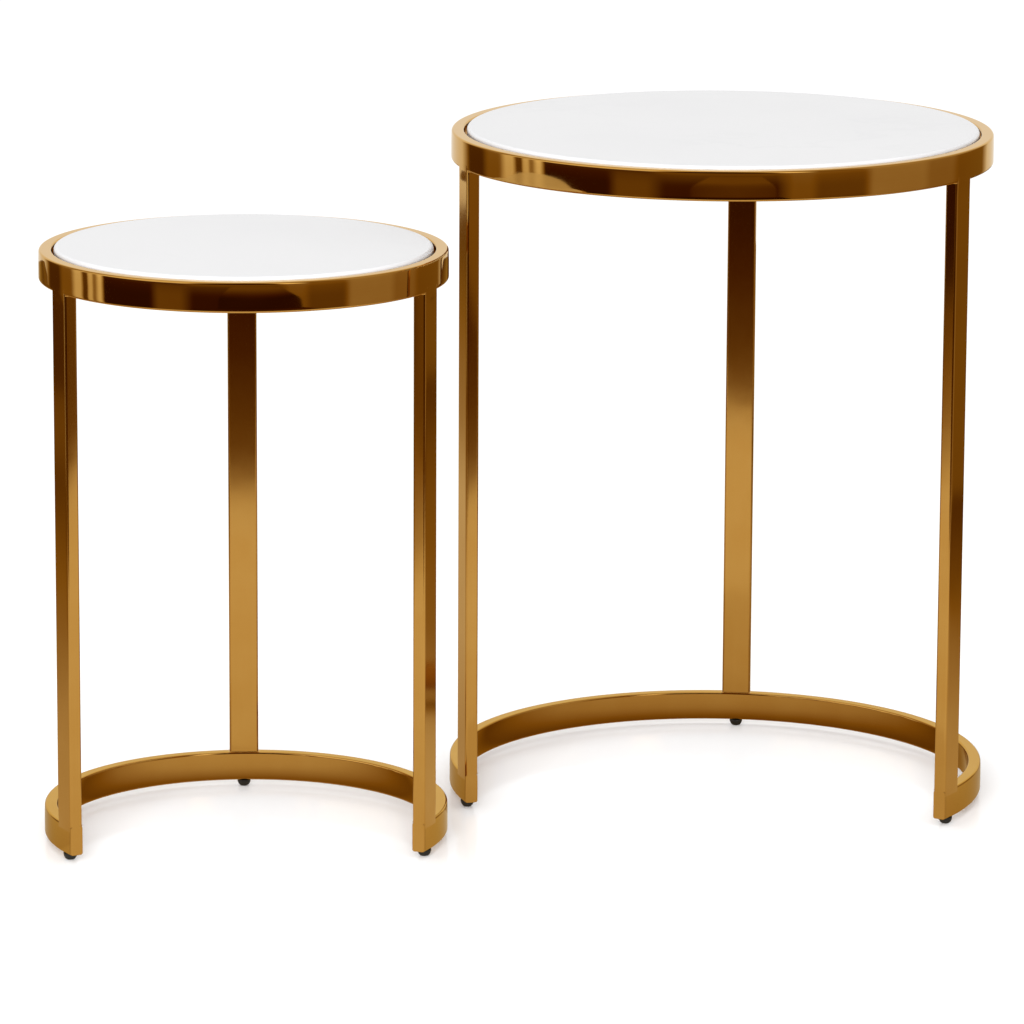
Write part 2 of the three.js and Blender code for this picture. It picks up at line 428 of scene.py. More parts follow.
@dataclass(frozen=True)
class WhiteStone(Finish):
    """Honed white marble with a few very faint grey veins."""

    colour: Colour = (0.632, 0.63, 0.64)
    cloud_colour: Colour = (0.6, 0.6, 0.612)
    vein_colour: Colour = (0.53, 0.535, 0.55)
    roughness: float = 0.24
    gloss: float = 0.42
    drift_scale: float = 4.0
    drift: float = 0.22
    vein_scale: float = 5.5
    vein_width: float = 0.028
    vein_share: float = 0.16
    patch_scale: float = 3.2
    cloud_scale: float = 9.0
    cloud_share: float = 0.3
    crystal_scale: float = 900.0
    crystal_depth: float = 6.0e-7
    offset: Place = (0.0, 0.0, 0.0)

    def inputs(self, graph: Graph, where: Wire) -> dict[str, object]:
        """Work out the stone's inputs.

        Args:
            graph: The node tree.
            where: The place on the object, in metres.

        Returns:
            Values and wires by the names of the shader's sockets.
        """
        moved = graph.node("ShaderNodeMapping", None, {"Vector": where, "Location": self.offset})
        noise = {"Vector": moved, "Scale": self.drift_scale, "Detail": 4.0, "Roughness": 0.6}
        drift = graph.node("ShaderNodeTexNoise", None, noise, "Color")
        bent = graph.node("ShaderNodeVectorMath", {"operation": "SCALE"}, {0: drift, "Scale": self.drift}, "Vector")
        bent = graph.node("ShaderNodeVectorMath", {"operation": "ADD"}, {0: moved, 1: bent}, "Vector")
        contours = graph.noise(bent, self.vein_scale, 5.0, 0.55)
        vein = 1.0 - (contours - 0.5).maths("ABSOLUTE").step(0.0, self.vein_width)
        patches = graph.noise(moved, self.patch_scale).step(0.42, 0.7)
        cloud = graph.noise(bent, self.cloud_scale, 4.0, 0.6).step(0.35, 0.75)
        crystals = graph.noise(moved, self.crystal_scale)

        base = graph.blend(cloud * self.cloud_share, self.colour, self.cloud_colour)
        base = graph.blend(vein * patches * self.vein_share, base, self.vein_colour)
        polish = self.roughness + 0.015 * crystals + 0.02 * cloud
        return {
            "Base Color": base,
            "Roughness": polish,
            "Specular IOR Level": self.gloss,
            "Normal": graph.bump(crystals, self.crystal_depth),
        }


@dataclass(frozen=True)
class FootRubber(Finish):
    """Moulded black rubber."""

    colour: Colour = (0.006, 0.006, 0.006)
    scuffed: Colour = (0.018, 0.0175, 0.017)
    roughness: float = 0.5
    grain_scale: float = 1800.0
    grain_depth: float = 2.0e-5
    scuff_scale: float = 260.0

    def inputs(self, graph: Graph, where: Wire) -> dict[str, object]:
        """Work out the rubber's inputs.

        Args:
            graph: The node tree.
            where: The place on the object, in metres.

        Returns:
            Values and wires by the names of the shader's sockets.
        """
        grain = graph.noise(where, self.grain_scale, 3.0, 0.6)
        scuff = graph.noise(where, self.scuff_scale, 3.0, 0.6).step(0.5, 0.75)
        return {
            "Base Color": graph.blend(scuff, self.colour, self.scuffed),
            "Roughness": self.roughness + 0.2 * grain,
            "Normal": graph.bump(grain, self.grain_depth),
        }


@dataclass(frozen=True)
class ClearBumper(Finish):
    """Soft cloudy clear plastic."""

    colour: Colour = (0.78, 0.79, 0.76)
    dusty: Colour = (0.68, 0.67, 0.63)
    roughness: float = 0.22
    transmission: float = 0.45
    bending: float = 1.49
    dust_scale: float = 700.0

    def inputs(self, graph: Graph, where: Wire) -> dict[str, object]:
        """Work out the plastic's inputs.

        Args:
            graph: The node tree.
            where: The place on the object, in metres.

        Returns:
            Values and wires by the names of the shader's sockets.
        """
        dust = graph.noise(where, self.dust_scale, 3.0, 0.6)
        return {
            "Base Color": graph.blend(dust.step(0.45, 0.8), self.colour, self.dusty),
            "Roughness": self.roughness + 0.25 * dust,
            "Transmission Weight": self.transmission,
            "IOR": self.bending,
        }


# === Bench work ===


class Bench:
    """One piece while it is shaped in edit mode. Its object stays at the origin, unturned and unscaled."""

    def __init__(self, name: str) -> None:
        """Open an empty mesh of that name."""
        bpy.ops.object.select_all(action="DESELECT")
        self.obj = bpy.data.objects.new(name, bpy.data.meshes.new(name))
        bpy.context.scene.collection.objects.link(self.obj)
        self.obj.select_set(True)
        bpy.context.view_layer.objects.active = self.obj
        bpy.ops.object.mode_set(mode="EDIT")

    def plate(self, size: tuple[float, float], at: Place, turn: Place = (0.0, 0.0, 0.0)) -> None:
        """Add a flat rectangle.

        Args:
            size: Its width and depth before it is turned.
            at: Its middle.
            turn: Its turn about X, Y and Z.
        """
        bpy.ops.mesh.primitive_plane_add(size=1.0)
        place = Matrix.LocRotScale(Vector(at), Euler(turn), Vector((*size, 1.0)))
        mesh = bmesh.from_edit_mesh(self.obj.data)
        for vertex in mesh.verts:
            if vertex.select:
                vertex.co = place @ vertex.co
        bmesh.update_edit_mesh(self.obj.data)

    def disc(self, span: "Span", radius: float, sides: int) -> None:
        """Add a round disc as high as a part of the frame.

        Args:
            span: The part's box.
            radius: The disc's radius.
            sides: How many sides it has.
        """
        depth = span.high.z - span.low.z
        bpy.ops.mesh.primitive_cylinder_add(vertices=sides, radius=radius, depth=depth, location=span.middle)

    def select(self, kind: Element, test: Callable[[object], bool]) -> None:
        """Select what passes a test and nothing else.

        Args:
            kind: What is selected.
            test: Gets each vertex, edge or face.
        """
        bpy.ops.mesh.select_mode(type=kind.value)
        bpy.ops.mesh.select_all(action="DESELECT")
        mesh = bmesh.from_edit_mesh(self.obj.data)
        everything = {Element.VERTEX: mesh.verts, Element.EDGE: mesh.edges, Element.FACE: mesh.faces}[kind]
        for item in [item for item in everything if test(item)]:
            item.select_set(True)
        mesh.select_flush_mode()
        bmesh.update_edit_mesh(self.obj.data)

    def select_all(self) -> None:
        """Select the whole piece."""
        bpy.ops.mesh.select_mode(type=Element.VERTEX.value)
        bpy.ops.mesh.select_all(action="SELECT")

    def round_corners(self, radius: float, segments: int) -> None:
        """Round the selected vertices of a flat outline."""
        bpy.ops.mesh.bevel(affect="VERTICES", offset=radius, segments=segments, profile=0.5)

    def round_edges(self, test: Callable[[Edge], bool], radius: float, segments: int) -> None:
        """Round the edges that pass a test."""
        self.select(Element.EDGE, test)
        bpy.ops.mesh.bevel(affect="EDGES", offset=radius, segments=segments, profile=0.5)

    def cut_edges(self, test: Callable[[Edge], bool], cuts: int) -> None:
        """Split the edges that pass a test."""
        self.select(Element.EDGE, test)
        bpy.ops.mesh.subdivide(number_cuts=cuts)

    def reshape(self, move: Callable[[Vector], Vector]) -> None:
        """Move every vertex to where a function puts it."""
        mesh = bmesh.from_edit_mesh(self.obj.data)
        for vertex in mesh.verts:
            vertex.co = move(vertex.co.copy())
        bmesh.update_edit_mesh(self.obj.data)

    def sweep(self, axis: Vector, angle: float, steps: int) -> None:
        """Turn the outline about an upright axis into a tube.

        Args:
            axis: A point on the axis.
            angle: How far, counterclockwise seen from above.
            steps: How many steps.
        """
        bpy.ops.mesh.select_all(action="SELECT")
        bpy.ops.mesh.delete(type="ONLY_FACE")
        self.select_all()
        bpy.ops.mesh.spin(steps=steps, angle=-angle, center=axis, axis=(0.0, 0.0, 1.0), use_auto_merge=False)

    def rise(self, heights: Iterable[float]) -> None:
        """Extrude the selected faces up to each height in turn."""
        mesh = bmesh.from_edit_mesh(self.obj.data)
        now = next(vertex.co.z for vertex in mesh.verts if vertex.select)
        for height in heights:
            bpy.ops.mesh.extrude_region_move(TRANSFORM_OT_translate={"value": (0.0, 0.0, height - now)})
            now = height

    def slice(self, at: Vector, normal: Vector) -> None:
        """Cut the selected part with a plane, close it, and drop what lies on the normal's side."""
        bpy.ops.mesh.bisect(plane_co=at, plane_no=normal, use_fill=True, clear_outer=True, threshold=1e-7)

    def finish(self, weighted: bool = True) -> Piece:
        """Merge doubles, turn the faces outwards, smooth the shading and leave edit mode.

        Args:
            weighted: Whether wide faces keep the shading flat up to their rounded edges.

        Returns:
            The finished piece.
        """
        self.select_all()
        bpy.ops.mesh.remove_doubles(threshold=MERGE)
        bpy.ops.mesh.normals_make_consistent(inside=False)
        if bmesh.from_edit_mesh(self.obj.data).calc_volume(signed=True) < 0.0:
            bpy.ops.mesh.flip_normals()
        bpy.ops.object.mode_set(mode="OBJECT")
        bpy.ops.object.shade_smooth_by_angle(angle=math.radians(SHARP_ANGLE))
        if weighted:
            modifier = self.obj.modifiers.new("Weighted normals", "WEIGHTED_NORMAL")
            modifier.mode = "FACE_AREA_WITH_ANGLE"
            modifier.weight = 50
            modifier.keep_sharp = True
            bpy.ops.object.modifier_apply(modifier=modifier.name)
        return self.obj


def smooth_step(value: float) -> float:
    """Rise smoothly from 0 to 1 as the value does."""
    held = max(0.0, min(1.0, value))
    return held * held * (3.0 - 2.0 * held)


def clamp(value: float, limit: float) -> float:
    """Hold a value between -limit and limit."""
    return max(-limit, min(limit, value))


def directions(angle: float) -> tuple[Vector, Vector]:
    """The level directions outwards and counterclockwise at an angle round a table."""
    return Vector((math.cos(angle), math.sin(angle), 0.0)), Vector((-math.sin(angle), math.cos(angle), 0.0))


def bearing(out: Vector, start: float = 0.0) -> float:
    """The angle of a direction from a starting one, from minus to plus half a turn."""
    return (math.atan2(out.y, out.x) - start + math.pi) % math.tau - math.pi


def middle_of(edge: Edge) -> Vector:
    """The middle of an edge."""
    return (edge.verts[0].co + edge.verts[1].co) / 2.0


def lies_at(edge: Edge, at: Vector, normal: Vector = UP) -> bool:
    """Whether an edge lies in the plane through a point."""
    return all(abs((vertex.co - at).dot(normal)) < TOUCH for vertex in edge.verts)


# === The tables ===


@dataclass
class Span:
    """The lowest and highest corner of one part of the frame."""

    low: Vector
    high: Vector

    @classmethod
    def of(cls, node: str) -> "Span":
        """Read a part's box."""
        return cls(*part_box(node))

    @property
    def middle(self) -> Vector:
        """The box's middle."""
        return (self.low + self.high) / 2.0


@dataclass
class TubeFrame:
    """A table's tube frame: the ring round the stone, the open base arc with its end caps, and three legs."""

    table: str
    thin: float = 0.012
    leg_inset: float = 0.0004
    corner: float = 0.002
    corner_steps: int = 5
    crown: float = 0.0003
    face_cuts: int = 9
    ring_steps: int = 288
    overlap: float = 0.005
    blend_length: float = 0.012
    fillet: float = 0.0009
    cap_thickness: float = 0.002
    cap_edge: float = 0.0004
    cap_steps: int = 24
    cap_inset: float = 0.00003
    seam: float = 0.00012
    proud: float = 0.00002
    tuck: float = 0.0025
    tuck_length: float = 0.001
    ring: Span = field(init=False)
    arc: Span = field(init=False)

    def __post_init__(self) -> None:
        """Read the frame's sizes."""
        self.ring = Span.of(f"{self.table}_top_ring")
        self.arc = Span.of(f"{self.table}_base_arc")
        self.axis = Vector((self.ring.middle.x, self.ring.middle.y, 0.0))
        self.wide = self.ring.high.z - self.ring.low.z
        self.legs = {side: Span.of(f"{self.table}_{side.word}_leg") for side in LegSide}
        back = self.legs[LegSide.BACK].middle - self.axis
        self.leg_radius = Vector((back.x, back.y)).length
        self.radius = self.leg_radius + self.thin / 2.0 + self.leg_inset
        self.wall = self.radius - self.thin

    def leg_angle(self, side: LegSide) -> float:
        """A leg's direction from the table's axis."""
        out = self.legs[side].middle - self.axis
        return math.atan2(out.y, out.x)

    def opening(self) -> tuple[float, float]:
        """The open front's middle direction from the table's axis, and half its angle."""
        left, right = (self.leg_angle(side) for side in (LegSide.LEFT, LegSide.RIGHT))
        half = (right - left) % math.tau / 2.0
        return left + half, half

    def face_radius(self, height: float, middle: float) -> float:
        """The outer face's radius at a height, for a tube centred at another: its upper half leans in a little."""
        share = clamp((height - middle) / (self.wide / 2.0), 1.0)
        return self.radius - self.crown * max(0.0, share) ** 2

    def _outline(self, bench: Bench, angle: float, middle: float, shrink: float = 0.0) -> None:
        """Lay the tube's outline at an angle round the table.

        Args:
            bench: The open piece.
            angle: The direction from the axis.
            middle: The height of the tube's middle.
            shrink: How much smaller the outline is all round.
        """
        out, _ = directions(angle)
        core = self.radius - self.thin / 2.0
        at = self.axis + out * core + UP * middle
        size = (self.thin - 2.0 * shrink, self.wide - 2.0 * shrink)
        bench.plate(size, tuple(at), (math.pi / 2.0, 0.0, angle))
        bench.round_corners(self.corner, self.corner_steps)

        self._cut_outer_side(bench, at, out)

        def crowned(point: Vector) -> Vector:
            """Lean the outer face's upper half in."""
            from_axis = (point - self.axis).dot(out)
            drawn_in = self.radius - self.face_radius(point.z, middle)
            weight = smooth_step((from_axis - core) / (self.thin / 2.0 - self.corner))
            return point - out * (drawn_in * weight)

        bench.reshape(crowned)

    def _cut_outer_side(self, bench: Bench, at: Vector, out: Vector) -> None:
        """Cut the long straight outer side of the tube's outline into short ones.

        Args:
            bench: The open piece.
            at: The outline's middle.
            out: The direction outwards.
        """

        def is_outer_side(edge: Edge) -> bool:
            """Whether this is that side."""
            return edge.calc_length() > self.wide / 2.0 and (middle_of(edge) - at).dot(out) > 0.0

        bench.cut_edges(is_outer_side, self.face_cuts)

    def build_ring(self) -> Piece:
        """The closed ring round the stone."""
        bench = Bench(f"{self.table}_ring")
        self._outline(bench, 0.0, self.ring.middle.z)
        bench.sweep(self.axis, math.tau, self.ring_steps)
        return bench.finish()

    def _end_plane(self, side: LegSide, offset: float) -> tuple[Vector, Vector]:
        """The plane across the arc at a front leg, at an offset towards the open front.

        Args:
            side: The leg.
            offset: The distance from the leg's middle.

        Returns:
            A point on the plane, and its normal towards the open front.
        """
        normal, _ = directions(self.leg_angle(side) + side.open_side * math.pi / 2.0)
        return self.axis + normal * offset, normal

    def build_arc(self) -> Piece:
        """The base arc, open at the front and ending just short of its end caps."""
        bench = Bench(f"{self.table}_arc")
        start = self.leg_angle(LegSide.RIGHT)
        spread = (self.leg_angle(LegSide.LEFT) - start) % math.tau
        margin = 2.0 * self.wide / self.radius
        self._outline(bench, start - margin, self.arc.middle.z)
        bench.sweep(self.axis, spread + 2.0 * margin, self.ring_steps)
        for side in (LegSide.LEFT, LegSide.RIGHT):
            end = self.leg_angle(side)
            bench.select(
                Element.FACE, lambda face: abs(bearing(face.calc_center_median() - self.axis, end)) < 2.2 * margin
            )
            bench.slice(*self._end_plane(side, self.wide / 2.0 - self.cap_thickness - self.seam))
        return bench.finish()

    def build_cap(self, side: LegSide) -> Piece:
        """The plate that closes the arc's end.

        Args:
            side: The front leg it is under.

        Returns:
            The plate.
        """
        bench = Bench(f"{self.table}_cap_{side.word}")
        direction = self.leg_angle(side)
        half = self.wide / self.radius
        self._outline(bench, direction - half, self.arc.middle.z, self.cap_inset)
        bench.sweep(self.axis, 2.0 * half, self.cap_steps)
        bench.select_all()
        bench.slice(*self._end_plane(side, self.wide / 2.0))
        bench.select_all()
        at, normal = self._end_plane(side, self.wide / 2.0 - self.cap_thickness)
        bench.slice(at, -normal)
        face_at, _ = self._end_plane(side, self.wide / 2.0)
        bench.round_edges(lambda edge: lies_at(edge, face_at, normal), self.cap_edge, 3)
        return bench.finish()

    def _leg_heights(self) -> list[float]:
        """Heights of a leg's cross-sections, close together where it meets the arc and the ring."""
        near = [-1.0, -0.72, -0.46, -0.24, -0.1, 0.0]
        quarters = [0.25, 0.5, 0.75, 1.0]
        bottom, top = self.arc.high.z, self.ring.low.z
        low = [bottom + self.overlap * share for share in near]
        low += [bottom + self.fillet * share for share in quarters]
        low += [bottom + self.fillet + (self.blend_length - self.fillet) * share for share in quarters]
        high = [top - (height - bottom) for height in reversed(low)]
        middle = [low[-1] + (high[0] - low[-1]) * share / 8.0 for share in range(1, 8)]
        return low + middle + high

    def build_leg(self, side: LegSide) -> Piece:
        """A leg whose outer face runs flush into the ring and the arc, with small weld fillets on its other faces.

        Args:
            side: Which leg.

        Returns:
            The leg.
        """
        bench = Bench(f"{self.table}_leg_{side.word}")
        angle = self.leg_angle(side)
        out, along = directions(angle)
        centre = self.axis + out * self.leg_radius
        heights = self._leg_heights()
        bench.plate((self.thin, self.wide), (centre.x, centre.y, heights[0]), (0.0, 0.0, angle))
        bench.round_corners(self.corner, self.corner_steps)

        self._cut_outer_side(bench, centre, out)
        bench.select(Element.FACE, lambda face: True)
        bench.rise(heights[1:])
        bottom, top = self.arc.high.z, self.ring.low.z

        def fitted(point: Vector) -> Vector:
            """Fit a point of the plain tube to its neighbours."""
            u = (point - centre).dot(out)
            v = (point - centre).dot(along)
            beyond = max(bottom - point.z, point.z - top)
            lower_end = bottom - point.z > point.z - top
            core_u = clamp(u, self.thin / 2.0 - self.corner)
            core_v = clamp(v, self.wide / 2.0 - self.corner)
            normal_u = (u - core_u) / self.corner
            normal_v = (v - core_v) / self.corner
            outward = smooth_step(u / (self.thin / 2.0 - self.corner))
            inward = smooth_step(-u / (self.thin / 2.0 - self.corner))

            middle = self.arc.middle.z if lower_end else self.ring.middle.z
            edge = bottom if lower_end else top
            flush_height = min(point.z, edge) if lower_end else max(point.z, edge)
            curve = self.face_radius(flush_height, middle) + self.proud
            target = math.sqrt(curve * curve - v * v) - self.leg_radius - self.thin / 2.0
            flush = smooth_step(1.0 + beyond / self.blend_length)
            u += outward * flush * target

            reach = max(0.0, 1.0 + beyond / self.fillet) if beyond < 0.0 else 1.0
            flare = self.fillet * (1.0 - math.sqrt(max(0.0, 1.0 - min(1.0, reach) ** 2)))
            on_open_side = side.open_side * v > 0.0 and lower_end
            u += flare * min(0.0, normal_u)
            v += flare * normal_v * (0.0 if on_open_side else 1.0 - outward * abs(normal_u))
            if on_open_side:
                v += side.open_side * self.proud * abs(normal_v)
            if beyond > 0.0:
                u += inward * self.tuck * smooth_step(beyond / self.tuck_length)
            return centre + out * u + along * v + UP * point.z

        bench.reshape(fitted)
        return bench.finish()


@dataclass
class StoneTop:
    """A table's loose stone disc."""

    table: str
    radius: float
    edge: float = 0.0035
    chamfer: float = 0.001
    segments: int = 288
    inset_shares: tuple[float, ...] = (0.004, 0.05, 0.25, 0.35, 0.3)

    def build(self) -> Piece:
        """The disc, rounded at its top edge and chamfered at its bottom edge."""
        span = Span.of(f"{self.table}_stone_top")
        bench = Bench(f"{self.table}_stone")
        bench.disc(span, self.radius, self.segments)
        for at, size, steps in ((span.high, self.edge, 8), (span.low, self.chamfer, 2)):
            bench.round_edges(lambda edge: lies_at(edge, at), size, steps)
        for height in (span.high.z, span.low.z):
            bench.select(
                Element.FACE,
                lambda face: len(face.verts) > 8 and abs(face.calc_center_median().z - height) < TOUCH,
            )
            for share in self.inset_shares:
                bpy.ops.mesh.inset(thickness=self.radius * share)
        return bench.finish()


@dataclass
class Supports:
    """The tabs welded inside the ring, and the bumpers on them, that carry the stone."""

    tubes: TubeFrame
    count: int = 4
    tab_width: float = 0.024
    tab_reach: float = 0.022
    tab_corner: float = 0.004
    tab_edge: float = 0.0004
    weld_radius: float = 0.0013
    weld_ripple: float = 0.0011
    weld_steps: int = 46
    weld_inset: float = 0.002
    sunk: float = 0.0003
    pad_radius: float = 0.005
    pad_dome: float = 0.0007

    def __post_init__(self) -> None:
        """Take the table's name, its axis and the radius of the ring's inner face."""
        self.table, self.axis, self.wall = self.tubes.table, self.tubes.axis, self.tubes.wall

    def build_tab(self, index: int) -> Piece:
        """One tab with rounded free corners and its weld bead.

        Args:
            index: Which tab.

        Returns:
            The tab.
        """
        span = Span.of(f"{self.table}_support_tab_{index}")
        to_pad = Span.of(f"{self.table}_pad_{index}").middle - self.axis
        angle = math.atan2(to_pad.y, to_pad.x)
        out, along = directions(angle)
        bench = Bench(f"{self.table}_tab_{index}")
        middle = self.wall - self.tab_reach / 2.0
        at = self.axis + out * middle + UP * span.low.z
        bench.plate((self.tab_reach, self.tab_width), tuple(at), (0.0, 0.0, angle))

        def is_free_corner(vertex: bmesh.types.BMVert) -> bool:
            """Whether a corner is at the tab's free end."""
            return (vertex.co - self.axis).dot(out) < middle

        bench.select(Element.VERTEX, is_free_corner)
        bench.round_corners(self.tab_corner, 6)

        def is_wall_side(edge: Edge) -> bool:
            """Whether this is the side at the ring."""
            return all((vertex.co - self.axis).dot(out) > middle + self.tab_reach / 4.0 for vertex in edge.verts)

        bench.cut_edges(is_wall_side, 9)
        bench.select(Element.FACE, lambda face: True)
        bench.rise([span.high.z])

        def follow_wall(point: Vector) -> Vector:
            """Bend the welded side to the ring's inner face, a little inside it."""
            u = (point - self.axis).dot(out)
            v = (point - self.axis).dot(along)
            if u > middle + self.tab_reach / 4.0:
                u = math.sqrt((self.wall + self.sunk) ** 2 - v * v)
            return self.axis + out * u + along * v + UP * point.z

        bench.reshape(follow_wall)

        def is_flat_rim(edge: Edge) -> bool:
            """Whether an edge lies round the upper or lower face, away from the wall."""
            ends = [(vertex.co - self.axis).dot(out) for vertex in edge.verts]
            return lies_at(edge, edge.verts[0].co) and min(ends) < self.wall - self.weld_inset

        bench.round_edges(is_flat_rim, self.tab_edge, 3)
        self._add_weld(bench, angle, span.low.z)
        return bench.finish()

    def _add_weld(self, bench: Bench, angle: float, height: float) -> None:
        """Lay a rippled weld bead in the corner under the tab.

        Args:
            bench: The open tab.
            angle: The tab's direction.
            height: The tab's underside.
        """
        half = (self.tab_width / 2.0 - self.weld_inset) / self.wall
        start = angle - half
        at = self.axis + directions(start)[0] * self.wall
        bpy.ops.mesh.primitive_circle_add(
            vertices=14,
            radius=self.weld_radius,
            fill_type="NGON",
            location=(at.x, at.y, height),
            rotation=(math.pi / 2.0, 0.0, start),
        )
        mesh = bmesh.from_edit_mesh(bench.obj.data)
        before = {vertex.index for vertex in mesh.verts if not vertex.select}
        bpy.ops.mesh.spin(
            steps=self.weld_steps, angle=-2.0 * half, center=self.axis, axis=UP, use_auto_merge=False
        )
        mesh = bmesh.from_edit_mesh(bench.obj.data)
        mesh.verts.ensure_lookup_table()
        for vertex in mesh.verts:
            if vertex.index in before:
                continue
            out = vertex.co - self.axis
            turn = bearing(out, angle)
            ripple = 0.86 + 0.14 * abs(math.sin(turn * self.wall / self.weld_ripple))
            taper = math.sqrt(max(0.05, 1.0 - (turn / half) ** 8))
            flat = Vector((out.x, out.y, 0.0)).normalized()
            core = self.axis + flat * self.wall + UP * height
            vertex.co = core + (vertex.co - core) * ripple * taper
        bmesh.update_edit_mesh(bench.obj.data)

    def build_pad(self, index: int) -> Piece:
        """One bumper: a low disc with a domed top edge.

        Args:
            index: Which bumper.

        Returns:
            The bumper.
        """
        span = Span.of(f"{self.table}_pad_{index}")
        bench = Bench(f"{self.table}_bumper_{index}")
        bench.disc(span, self.pad_radius, 40)
        bench.round_edges(lambda edge: lies_at(edge, span.high), self.pad_dome, 5)
        return bench.finish()


@dataclass
class Foot:
    """A push-in rubber dome under a leg."""

    table: str
    side: LegSide
    radius: float = 0.00625
    dome_height: float = 0.0062
    floor_radius: float = 0.002
    stem_radius: float = 0.003
    stem_length: float = 0.0015

    def build(self) -> Piece:
        """The dome with its stem."""
        span = Span.of(f"{self.table}_{self.side.word}_foot")
        radius = self.radius
        bench = Bench(f"{self.table}_foot_{self.side.word}")
        middle = Vector((span.middle.x, span.middle.y, 0.0))
        bpy.ops.mesh.primitive_uv_sphere_add(
            segments=40, ring_count=24, radius=radius, location=middle + UP * self.dome_height
        )
        bench.select_all()
        bench.slice(middle + UP * self.dome_height, UP)

        def squared_dome(point: Vector) -> Vector:
            """Stretch the half ball to the dome's height, with a small flat underside."""
            flat = point - middle
            height = flat.z
            across = Vector((flat.x, flat.y, 0.0))
            share = 1.0 - (self.dome_height - height) / radius
            low = max(0.0, self.dome_height * share)
            spread = across.length
            if spread > 1e-9:
                grown = self.floor_radius * (1.0 - spread / radius)
                across *= (spread + grown * smooth_step(spread / self.floor_radius)) / spread
            return middle + across + UP * low

        bench.reshape(squared_dome)
        bench.select(Element.FACE, lambda face: face.calc_center_median().z > self.dome_height - 1e-5)
        bpy.ops.mesh.inset(thickness=radius - self.stem_radius)
        bench.rise([self.dome_height + self.stem_length])
        return bench.finish()


@dataclass
class TableFinishes:
    """The finishes of one table, made once and shared by its pieces."""

    ring: Material
    arc: Material
    leg: Material
    stone: Material
    rubber: Material
    pad: Material


@dataclass
class Table:
    """One whole table."""

    name: str
    stone_offset: Place
    stone_gap: float = 0.0018

    def finishes(self, axis: Vector) -> TableFinishes:
        """Make the table's finishes.

        Args:
            axis: The table's axis.

        Returns:
            The finishes.
        """
        centre = (axis.x, axis.y)
        ring = GoldPlate(Grain.ROUND, centre, roughness=0.025, roughness_spread=0.035, wave_depth=8.0e-5)
        arc = GoldPlate(Grain.ROUND, centre, roughness=0.06, line_depth=4.0e-7, tint=(0.86, 0.76, 0.52))
        leg = GoldPlate(Grain.UPRIGHT, centre, roughness=0.06, line_depth=4.0e-7)
        return TableFinishes(
            ring=ring.material(f"{self.name} ring plating"),
            arc=arc.material(f"{self.name} arc plating"),
            leg=leg.material(f"{self.name} leg plating"),
            stone=WhiteStone(offset=self.stone_offset).material(f"{self.name} white stone"),
            rubber=FootRubber().material(f"{self.name} foot rubber"),
            pad=ClearBumper().material(f"{self.name} clear bumper"),
        )

    def place(
        self, piece: Piece, node: str, body: str, slot: Slot, material: Material
    ) -> None:
        """Dress a piece and let it stand for its part of the frame.

        Args:
            piece: The finished piece.
            node: The part's name without the table's.
            body: The body it moves with.
            slot: The record's material slot; not used.
            material: Its finish.
        """
        piece.data.materials.clear()
        piece.data.materials.append(material)
        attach(piece, body)
        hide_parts(f"{self.name}_{node}")
        LOG.info("%s: %d faces, rides on %s", piece.name, len(piece.data.polygons), body)

    def build(self) -> None:
        """Build and dress every piece."""
        tubes = TubeFrame(self.name)
        looks = self.finishes(tubes.axis)
        body = f"{self.name}_frame"
        self.place(tubes.build_ring(), "top_ring", body, Slot.GOLD, looks.ring)
        self.place(tubes.build_arc(), "base_arc", body, Slot.GOLD, looks.arc)
        for side in LegSide:
            self.place(tubes.build_leg(side), f"{side.word}_leg", body, Slot.GOLD, looks.leg)
            foot = Foot(self.name, side).build()
            self.place(foot, f"{side.word}_foot", body, Slot.RUBBER, looks.rubber)
            if side.open_side:
                self.place(tubes.build_cap(side), f"{side.word}_end_cap", body, Slot.GOLD, looks.arc)
        disc = StoneTop(self.name, tubes.wall - self.stone_gap).build()
        self.place(disc, "stone_top", f"{self.name}_stone", Slot.STONE, looks.stone)
        supports = Supports(tubes)
        for index in range(1, supports.count + 1):
            self.place(supports.build_tab(index), f"support_tab_{index}", body, Slot.GOLD, looks.arc)
            self.place(supports.build_pad(index), f"pad_{index}", body, Slot.PAD, looks.pad)


# === The studio ===


# Painted reflection tones: the brightness of the painted reflections turned into colour, warmer and more orange as
# it dims.
PAINTED_REFLECTION_TONES: tuple[tuple[float, Colour], ...] = (
    (0.0, (0.0, 0.0, 0.0)),
    (0.045, (0.067, 0.018, 0.0004)),
    (0.2, (0.30, 0.175, 0.03)),
    (0.5, (0.76, 0.70, 0.58)),
    (0.68, (1.05, 1.05, 1.05)),
    (1.0, (1.5, 1.5, 1.5)),
)
BRIGHTEST = 1.5


def painted_reflection_tone(graph: Graph, level: Wire) -> Wire:
    """The painted reflection colour of a brightness, which gets warmer as it dims."""
    return graph.ramp(level / BRIGHTEST, PAINTED_REFLECTION_TONES)


@dataclass(frozen=True)
class Strip:
    """One upright strip of painted reflection brightness round the set, seen only in the plating's reflections.

    Angles go from the direction of the camera towards the right, in degrees. The three numbers are the strip's
    painted brightness below, at and above the level of the tables.
    """

    start: float
    end: float
    below: float
    level: float
    above: float


